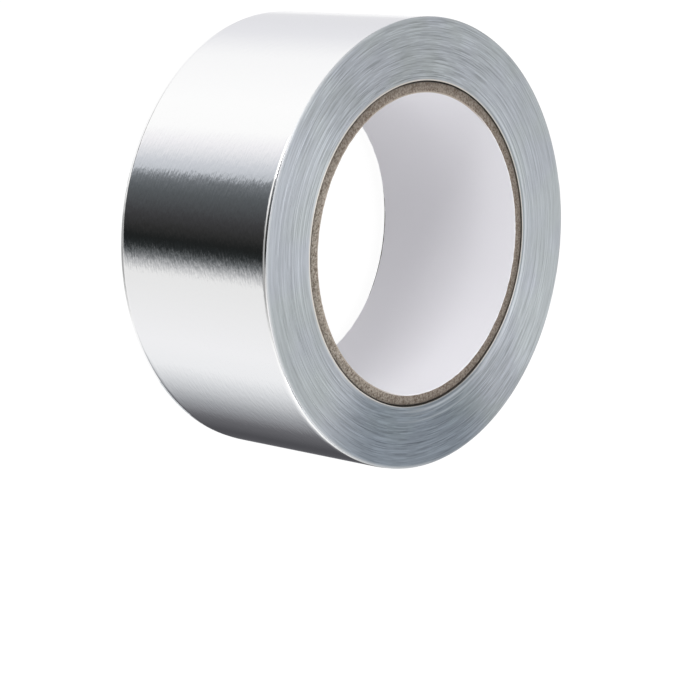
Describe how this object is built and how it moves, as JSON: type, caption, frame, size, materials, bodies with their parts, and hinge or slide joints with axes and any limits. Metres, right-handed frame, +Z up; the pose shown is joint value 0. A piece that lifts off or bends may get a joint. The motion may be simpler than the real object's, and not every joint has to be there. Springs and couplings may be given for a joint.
{
  "type": "roll of aluminium foil tape",
  "caption": "Roll of aluminium foil tape wound on a paper-lined board core, standing on one end, with an open bore through the middle.",
  "frame": {"origin": "on the roll's axis, in the plane of the end that it stands on", "axes": "+Z up the roll's axis; +X and +Y lie in the plane that it stands on, and the cut end of the tape lies 115 degrees round from +X"},
  "size_m": [0.1139, 0.114, 0.05],
  "materials": {
    "core_board": "matte grey-brown cut board",
    "lining_paper": "matte white",
    "foil_tape": "bright rolled foil, with satin bluish grey turns on the end faces"
  },
  "bodies": {
    "root": {"core_tube": "core_board", "core_lining": "lining_paper", "tape_winding": "foil_tape"}
  },
  "joints": []
}
